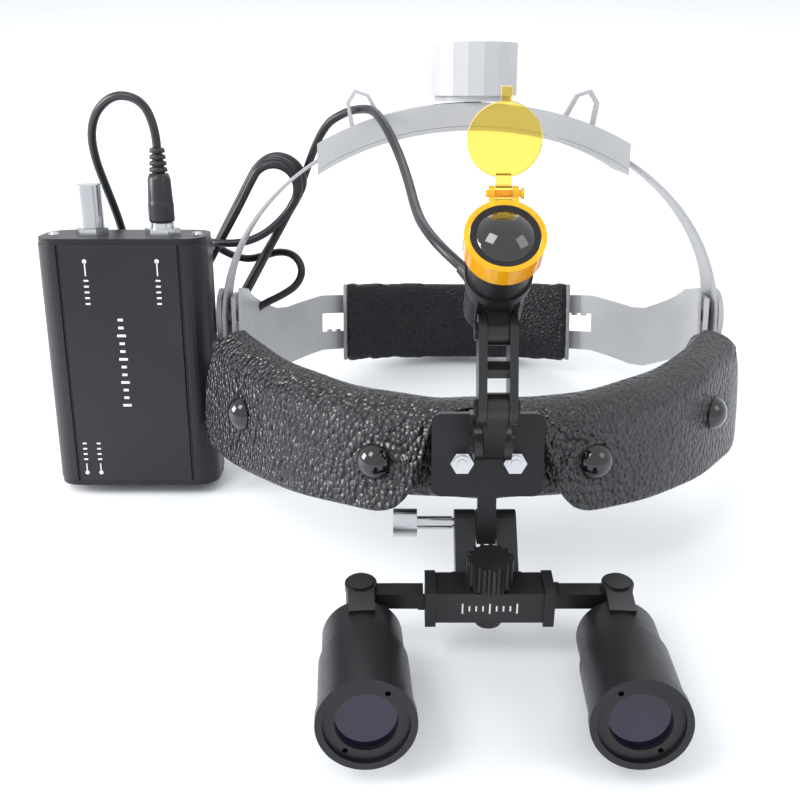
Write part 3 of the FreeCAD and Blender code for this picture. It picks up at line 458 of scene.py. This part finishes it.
# Each flap's edges as (angle from straight ahead, height), for the wearer's left side.
FOLD_TOP = 5.0
TOP_EDGE = [(a, leather_top(a) + FOLD_TOP) for a in (0, 10, 20, 30, 40, 50, 58, 64)]
INNER_EDGE = [(0, PAD_TOP + FOLD_TOP), (0, 17.4), (0.6, 15.1), (4, 14), (8.2, 12.5), (9.4, 8.8), (10.2, 4),
              (11.2, -1), (12.6, -7), (14.2, -12), (16.2, -15.3)]
OUTER_EDGE = [(64, leather_top(64) + FOLD_TOP), (65.5, 22), (68, 16), (71.2, 9), (73.6, 1), (73.8, -5),
              (71.4, -10.6)]
LOW_EDGE = [(16.2, -15.3), (19.5, -16.9), (27, -16.4), (38, -15.6), (50, -14.6), (60, -13.9), (66.5, -13.3),
            (71.4, -10.6)]
DEGREE = 1.68                          # millimetres of leather to a degree
SNAPS = ((20.0, -1.5), (53.3, 4.8))


def flap_chart(u, v):
    """A flap's angle and height at a share u from its inner to its outer edge and v from top to bottom."""
    top, low = curve_point(TOP_EDGE, u), curve_point(LOW_EDGE, u)
    inner, outer = curve_point(INNER_EDGE, v), curve_point(OUTER_EDGE, v)
    corners = ((1 - u) * (1 - v) * Vector(TOP_EDGE[0]) + u * (1 - v) * Vector(TOP_EDGE[-1])
               + (1 - u) * v * Vector(LOW_EDGE[0]) + u * v * Vector(LOW_EDGE[-1]))
    return top * (1 - v) + low * v + inner * (1 - u) + outer * u - corners


def flap_surface(angle, height, sink):
    """The radius and height of the flap's face, rolled over the top edge; sink goes below the face."""
    top = leather_top(angle)
    face = 93.2 + (FLAP_FACE - 93.2) * smooth_step(3, 11, angle) + 2.2 * smooth_step(52, 76, angle)
    base = top - FOLD_DROP
    if height <= base:
        return face - sink, height
    turn = math.pi / 2 * (height - base) / (FOLD_DROP + FOLD_TOP)
    radius = face - FOLD_BACK * (1 - math.cos(turn)) - sink * math.cos(turn)
    return radius, base + (FOLD_RISE - sink) * math.sin(turn)


def build_flap(name, side):
    columns, rows = 96, 44

    def point(i, j, sink):
        u, v = i / columns, j / rows
        angle, height = flap_chart(u, v)
        rim = min(u * 90, (1 - u) * 90, (1 - v) * 44)
        roll = max(0.0, 1 - rim / 2.4) ** 2 if height < leather_top(angle) - FOLD_DROP + 2 else 0.0
        depth = sink + (0.9 * roll if sink == 0 else -0.4 * roll)
        for snap_angle, snap_height in SNAPS:
            apart = math.hypot((angle - snap_angle) * DEGREE, height - snap_height)
            depth += 0.55 * math.exp(-(apart / 6.5) ** 2) if sink == 0 else 0
        depth -= 0.22 * math.sin(angle * 0.33 + side) * math.sin(height * 0.16 + 1.0) if sink == 0 else 0
        radius, z = flap_surface(angle, height, depth)
        return round_head(side * angle, radius, z)

    piece = slab(name, FRONT, columns, rows, lambda i, j: point(i, j, 0), lambda i, j: point(i, j, FLAP_THICK),
                 LEATHER, ROOT)
    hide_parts("front_flaps")


def build_front_leather():
    core = padded_band("front_pad_leather", FRONT, (79.2, 92.5), PAD_LOW + 0.5, lambda a: leather_top(a) + 0.4,
                       -69, 69, ROOT, LEATHER)
    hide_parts("front_pad", "brow_liner")
    puff_up(core, CORE_VOXEL, 0.6)
    build_flap("left_flap_leather", -1)
    build_flap("right_flap_leather", 1)


# ---------------------------------------------------------------- rear pad and straps
REAR_CENTRE, REAR_RADIUS = 13.7, 82.3
PAD_ANGLES = (140.5, 219.5)


def build_rear_pad():
    back = REAR_RADIUS - 2.6
    pad = padded_band("rear_pad_leather", REAR, (back - 5.2, back), -17.4, lambda a: 17.6, *PAD_ANGLES, "rear",
                      FINE_LEATHER, REAR_CENTRE, 56)
    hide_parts("rear_pad")
    puff_up(pad, PAD_VOXEL, 0.35)
    for number, angle in enumerate(PAD_ANGLES):
        bm = bmesh.new()
        foot = REAR @ Matrix.Translation(round_head(angle, back - 2.4, -16.6, REAR_CENTRE))
        lathe(bm, foot, [(0, 0.5), (0.3, 0.9), (33.0, 0.9), (33.4, 0.5)], 12)
        from_bmesh(f"rear_pad_piping_{number + 1}", bm, PIPING, "rear", smooth=True)


STRAP = 0.6                            # half the thickness of a strap
SLOT = (134.0, 156.0)                  # the toothed slot's two ends, by angle
STRAP_DROP = [(62, 5.2), (84, 4.2), (112, -4.4), (118, -4.4), (134, 0), (190, 0)]


def strap_drop(angle):
    for (a0, z0), (a1, z1) in zip(STRAP_DROP, STRAP_DROP[1:]):
        if angle <= a1:
            return z0 + (z1 - z0) * (angle - a0) / (a1 - a0)
    return 0.0


def build_rear_strap(name, side):
    """A strap from the side disc to behind the rear pad, with a toothed slot near the pad."""
    step = 0.55
    start, end = 70.0, 160.0
    columns, rows = round((end - start) / step), 24
    tooth = 3

    def point(i, j, radius):
        angle = start + step * i
        z = -12 + j + strap_drop(angle) * (1.0 if start < angle < SLOT[0] else 0.0)
        if angle < 90:
            ahead = (90 - angle) * 0.82
            return Vector((side * radius, REAR_CENTRE - ahead * 1.5, z))
        return round_head(side * angle, radius, z, REAR_CENTRE)

    def keep(i, j):
        angle = start + step * (i + 0.5)
        if not SLOT[0] < angle < SLOT[1]:
            return True
        toothed = 15 if side > 0 else 8
        if j == toothed and SLOT[0] + 2 < angle:
            return i // tooth % 2 == 0
        return not 8 <= j <= 15

    strap = slab(name, REAR, columns, rows, lambda i, j: point(i, j, REAR_RADIUS + STRAP),
                 lambda i, j: point(i, j, REAR_RADIUS - STRAP), GREY, None, keep)
    freeze(strap)
    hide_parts("rear_straps")
    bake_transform(strap)


# ---------------------------------------------------------------- crown straps
ARCH_HALF, ARCH_RISE = 88.2, 70.0


def build_crown_strap(name, side):
    """A strap along the crown arch, down to the side disc, wider at its foot and with a slit there."""
    columns, rows = 90, 16
    top = math.radians(65)

    def point(i, j, offset):
        share = i / columns
        down = share * 1.14
        turn = top * (1 - min(1.0, down))
        below = max(0.0, down - 1.0) * 66
        width = 7.4 + 2.2 * smooth_step(0.72, 1.05, down)
        x = side * (ARCH_HALF + offset) * math.cos(turn)
        z = (ARCH_RISE + offset) * math.sin(turn) - below
        return Vector((x, -width + 2 * width * j / rows, z))

    def keep(i, j):
        return not (72 <= i < 83 and 6 <= j < 10)

    strap = slab(name, CROWN, columns, rows, lambda i, j: point(i, j, STRAP), lambda i, j: point(i, j, -STRAP),
                 GREY, None, keep)
    freeze(strap)
    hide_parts("crown_straps")
    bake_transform(strap)


# ---------------------------------------------------------------- cord
CORD = 3.0
GLAND_END = LAMP @ Vector((-5.4 - 0.7 * 4.5, 12 + 5.4 + 0.714 * 4.5, -2.5))
GLAND_WAY = (LAMP.to_3x3() @ Vector((-0.7, 0.714, 0))).normalized()
HANK_TOP, HANK_FOOT = Vector((-66, 29.5, 107)), Vector((-121, 29.5, 12))
PLUG_LOW = 2 * 2 + 85 + 4.1
BOOT_LOW = PLUG_LOW + 16.5
PLUG_TOP = CASE @ Vector((13, -12, BOOT_LOW + 8.64))
CASE_UP = (CASE.to_3x3() @ Vector((0, 0, 1))).normalized()

# Each long turn of the hank: the radius of its folds, its depth in the bundle and where its two folds end.
TURNS = ((8.8, 4.6, 1, 106), (9.2, 1.5, -0.5, 108), (9.0, -1.6, 0.5, 105), (8.6, -4.7, 2, 102))
# The tail that ties the hank, as distances along, across and behind its middle line: over the front, round the
# left side, behind, out into a bight on the right, and down round the foot.
TIE = ((12.5, 8.8, -4.9), (19.5, 7.8, -5.8), (28, 4.6, -7.4), (35, -1.5, -8.8), (41, -11, -6.4), (44, -13.8, 0),
       (46, -11.2, 6.4), (48, -4, 9), (46.5, 4, 9.3), (41.5, 9, 8.8), (36, 13.4, 7), (33.4, 19, 4.6),
       (36.2, 24.4, 2.6), (42.6, 25.6, 1.2), (49.6, 22, 0.3), (56.5, 17, -0.4), (65, 13.4, -1), (75, 13, -1.5),
       (88, 13, -2), (100, 12, -3), (109, 6.5, -4), (112, -2, -4.8), (108, -10, -5.6), (98, -13.4, -6.4))
STRAIGHT_SHARES = (0.02, 0.15, 0.5, 0.85, 0.98)
FOLD_ANGLES = [math.radians(15 + 30 * k) for k in range(6)]


def in_hank(along, across, depth):
    """A point in the hank, by its distances along, across and behind its middle line."""
    run = (HANK_FOOT - HANK_TOP).normalized()
    side = Vector((-run.z, 0, run.x))
    return place(*(HANK_TOP + run * along + side * across + Vector((0, depth, 0))))


def hank_turns():
    """Long turns with round folds, each one a cord's width in front of the last."""
    points = []
    for number, (radius, depth, top, foot) in enumerate(TURNS):
        after = TURNS[min(number + 1, len(TURNS) - 1)][1]
        straight = foot - top - 2 * radius
        down = [(top + radius + share * straight, radius) for share in STRAIGHT_SHARES]
        foot_fold = [(foot - radius + radius * math.sin(turn), radius * math.cos(turn)) for turn in FOLD_ANGLES]
        up = [(point[0], -radius) for point in reversed(down)]
        top_fold = [(top + radius - radius * math.sin(turn), -radius * math.cos(turn)) for turn in FOLD_ANGLES]
        turn_points = down + foot_fold + up + top_fold
        for k, (along, across) in enumerate(turn_points):
            passed = smooth_step(0.75, 1.0, k / (len(turn_points) - 1))
            sway = 0.45 * math.sin(along * 0.09 + 1.7 * number)
            points.append(in_hank(along, across + sway, depth + (after - depth) * passed))
    return points


def build_cord():
    lead = [GLAND_END, GLAND_END + GLAND_WAY * 7 * MM]
    lead += [place(*p) for p in ((-18.5, -70, 113), (-20.5, -56, 114), (-22.5, -38, 117.5), (-25.5, -20, 121.8),
                                 (-30.3, -7, 128.4), (-33.8, 2.8, 130.2), (-37.9, 14, 128.6), (-44.4, 22.5, 125.8),
                                 (-53.5, 27, 119.5))]
    loop = [place(*p) for p in ((-124, 20.2, 41), (-125, 19.6, 53), (-126.5, 20.8, 66),
                                (-127.5, 19, 79), (-129, 17, 91), (-131, 14.5, 102), (-132.5, 12, 112),
                                (-132, 9.5, 121.5), (-128, 7, 130), (-120, 4.5, 135.5), (-111, 2.6, 133.5))]
    loop += [PLUG_TOP + CASE_UP * 6 * MM, PLUG_TOP]
    points = lead + hank_turns() + [in_hank(*p) for p in TIE] + loop
    curve = bpy.data.curves.new("cord", "CURVE")
    curve.dimensions = "3D"
    spline = curve.splines.new("NURBS")
    spline.points.add(len(points) - 1)
    for knot, point in zip(spline.points, points):
        knot.co = (*point, 1)
    spline.order_u = 3
    spline.use_endpoint_u = True
    spline.resolution_u = 8
    curve.bevel_depth = CORD / 2 * MM
    curve.bevel_resolution = 4
    curve.use_fill_caps = True
    curve.materials.append(RUBBER)
    cord = bpy.data.objects.new("cord", curve)
    bpy.context.scene.collection.objects.link(cord)
    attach(cord, ROOT)
    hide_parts("lamp_lead", "cord_hank", "battery_lead")
    length = spline.calc_length()
    print("cord length", round(length, 3))
    return cord, length


def build_plug():
    """The plug's knurled body, its metal tip and its ribbed boot."""
    axis = CASE @ Matrix.Translation((13, -12, 0))
    bm = bmesh.new()
    profile = [(PLUG_LOW, 3.6), (PLUG_LOW + 0.5, 4.3), (PLUG_LOW + 1.2, 4.45)]
    profile += [(PLUG_LOW + 1.6 + 0.5 * k, 4.5 if k % 2 else 4.32) for k in range(11)]
    profile += [(PLUG_LOW + 8, 4.2), (BOOT_LOW - 2, 3.9), (BOOT_LOW, 3.3)]
    for k in range(4):
        low, wide = BOOT_LOW + 0.2 + 2.1 * k, 3.1 - 0.16 * k
        profile += [(low, wide - 0.9), (low + 0.35, wide - 0.9), (low + 0.5, wide), (low + 1.7, wide - 0.1)]
    profile += [(BOOT_LOW + 8.6, 2.0)]
    lathe(bm, axis, profile, 40)
    body = from_bmesh("plug_body", bm, RUBBER, ROOT, smooth=True)
    body.data.polygons.foreach_set("use_smooth", [True] * len(body.data.polygons))
    bm = bmesh.new()
    lathe(bm, axis, [(PLUG_LOW - 7.8, 2.2), (PLUG_LOW - 7.4, 2.55), (PLUG_LOW + 0.2, 2.55)], 32)
    collar = [(PLUG_LOW - 1.9, 3.4), (PLUG_LOW - 1.6, 3.7), (PLUG_LOW - 0.3, 3.7), (PLUG_LOW + 0.1, 3.5)]
    lathe(bm, axis, collar, 32)
    tip = from_bmesh("plug_tip", bm, STEEL, ROOT, smooth=False)
    for piece in (body, tip):
        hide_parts("plug")
    return [body, tip]


# ---------------------------------------------------------------- battery case
def build_case():
    """The extruded case: rounded sides and a flat panel between two grooves, front and back."""
    half, depth, corner, low, high = 29.0, 24.0, 8.0, 2.0, 87.0
    groove, panel = 20.5, 0.35
    quarter = [(half - corner + corner * math.sin(t), -corner + corner * math.cos(t))
               for t in (math.radians(9 * k) for k in range(11))]
    front = [(groove - 1.4, 0.0), (groove - 0.5, 0.0), (groove - 0.2, -panel - 0.25), (groove + 0.2, -panel - 0.25),
             (groove + 0.5, -0.15)] + quarter
    right = [(x, y) for x, y in front] + [(x, -depth - y) for x, y in reversed(front)]
    outline = right + [(-x, y) for x, y in reversed(right)]
    bm = bmesh.new()
    rings = [[bm.verts.new(CASE @ Vector((x, y if y > -depth else -depth, z))) for x, y in outline]
             for z in (low, high)]
    count = len(outline)
    for k in range(count):
        m = (k + 1) % count
        bm.faces.new([rings[0][k], rings[0][m], rings[1][m], rings[1][k]])
    bm.faces.new(rings[0])
    bm.faces.new(rings[1])
    case = from_bmesh("case_shell", bm, CASE_BLACK, ROOT)
    round_edges(case, 0.2)
    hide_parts("battery_case")


# ---------------------------------------------------------------- marks
def bar(bm, matrix, x0, x1, z0, z1, y):
    """A thin printed bar on a face that looks along -Y."""
    outline = ((x0, z0), (x1, z0), (x1, z1), (x0, z1))
    half = 0.04
    front = [bm.verts.new(matrix @ Vector((x, y - half, z))) for x, z in outline]
    back = [bm.verts.new(matrix @ Vector((x, y + half, z))) for x, z in outline]
    bm.faces.new(front)
    bm.faces.new(back[::-1])
    for k in range(4):
        after = (k + 1) % 4
        bm.faces.new((front[k], back[k], back[after], front[after]))


def dot(bm, matrix, x, z, y, radius):
    turn = Matrix.Translation((x, y + 0.04, z)) @ Matrix.Rotation(math.radians(90), 4, "X")
    lathe(bm, matrix @ turn, [(0, radius), (0.08, radius)], 20)


def build_marks():
    """Plain dots, leader lines and ticks in place of lettering."""
    bm = bmesh.new()
    face = -24.02
    for x in (-11.5, 13.0):
        dot(bm, CASE, x, 81.5, face, 0.75)
        bar(bm, CASE, x - 0.2, x + 0.2, 76.5, 81.5, face)
        for i in range(5):
            bar(bm, CASE, x - 0.8, x + 0.8, 74.6 - 2.0 * i, 75.2 - 2.0 * i, face)
    for x in (-17.5, -12.5):
        dot(bm, CASE, x, 5.0, face, 0.75)
        bar(bm, CASE, x - 0.2, x + 0.2, 5.0, 8.5, face)
        for i in range(4):
            bar(bm, CASE, x - 0.7, x + 0.7, 9.8 + 2.0 * i, 10.4 + 2.0 * i, face)
    for i in range(12):
        wide = 1.5 if i % 3 == 0 else 0.9
        bar(bm, CASE, -1 - wide, -1 + wide, 30 + 2.8 * i, 30.9 + 2.8 * i, face)
    from_bmesh("case_marks", bm, PRINT, ROOT)
    bm = bmesh.new()
    for i in range(-4, 5):
        tall = 1.7 if i % 4 == 0 else 0.9
        bar(bm, HEADSET, 1.9 * i - 0.22, 1.9 * i + 0.22, 19 - tall, 19 + tall, -120.03)
    from_bmesh("bridge_marks", bm, PRINT, "flip")


# ---------------------------------------------------------------- lamp lens
def build_lamp_lens():
    """A domed lens that fills the lamp's bezel."""
    aperture, rise, base = 7.2, 2.7, 26.6
    ball = (aperture ** 2 + rise ** 2) / (2 * rise)
    bm = bmesh.new()
    widest = math.asin(aperture / ball)
    profile = [(base - 1.2, aperture - 0.4), (base, aperture)]
    profile += [(base + rise - ball + ball * math.cos(widest * k / 14), ball * math.sin(widest * k / 14))
                for k in range(13, 0, -1)]
    lathe(bm, LAMP @ Matrix.Translation((0, 12, 0)), profile, 64)
    lens = from_bmesh("lamp_dome", bm, LAMP_GLASS, "lamp", smooth=True)
    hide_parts("lamp_lens")


# ---------------------------------------------------------------- stage
CAMERA_PLACE = (-25.0, -340.0, 199.0)
CAMERA_PITCH = 27.5
FOCAL_SHARE = 1.25                     # the focal length over the frame's width
SENSOR = 36.0


def build_stage():
    mesh = bpy.data.meshes.new("floor")
    reach, low = 3.0, -0.0004
    corners = [(-reach, -reach, low), (reach, -reach, low), (reach, reach, low), (-reach, reach, low)]
    mesh.from_pydata(corners, [], [(0, 1, 2, 3)])
    floor = bpy.data.objects.new("floor", mesh)
    bpy.context.scene.collection.objects.link(floor)
    look = Look("floor_white", (0.92, 0.935, 0.96), 0.55)
    look.rough(look.noise(8), 0.5, 0.65)
    mesh.materials.append(look.mat)
    world = bpy.data.worlds.new("studio")
    world.use_nodes = True
    world.node_tree.nodes["Background"].inputs["Color"].default_value = (0.95, 0.97, 1.0, 1)
    world.node_tree.nodes["Background"].inputs["Strength"].default_value = 0.99
    bpy.context.scene.world = world
    lights = (("key", (-0.55, -0.5, 1.0), 0.45, 4.0), ("side", (-1.0, -0.15, 0.42), 0.45, 9.0),
              ("fill", (0.8, -0.5, 0.8), 0.5, 1.6), ("back", (0.1, 0.9, 1.0), 0.9, 3.0))
    for name, spot, size, power in lights:
        data = bpy.data.lights.new(name, "AREA")
        data.energy = power
        data.size = size
        lamp = bpy.data.objects.new(name, data)
        lamp.location = spot
        lamp.rotation_euler = (Vector((0, 0, 0.05)) - Vector(spot)).to_track_quat("-Z", "Y").to_euler()
        bpy.context.scene.collection.objects.link(lamp)
    bpy.context.scene.view_settings.view_transform = "Standard"


def build_camera():
    data = bpy.data.cameras.new("camera")
    data.sensor_width = SENSOR
    data.lens = SENSOR * FOCAL_SHARE
    data.clip_start = 0.01
    camera = bpy.data.objects.new("camera", data)
    camera.location = place(*CAMERA_PLACE)
    camera.rotation_euler = (math.radians(90 - CAMERA_PITCH), 0, 0)
    bpy.context.scene.collection.objects.link(camera)
    bpy.context.scene.camera = camera


build_camera()
build_stage()
dress_cad_nodes()
build_front_leather()
build_rear_pad()
build_rear_strap("left_rear_strap", -1)
build_rear_strap("right_rear_strap", 1)
build_crown_strap("left_crown_strap", -1)
build_crown_strap("right_crown_strap", 1)
build_case()
build_marks()
build_lamp_lens()
cord, cord_length = build_cord()
build_plug()
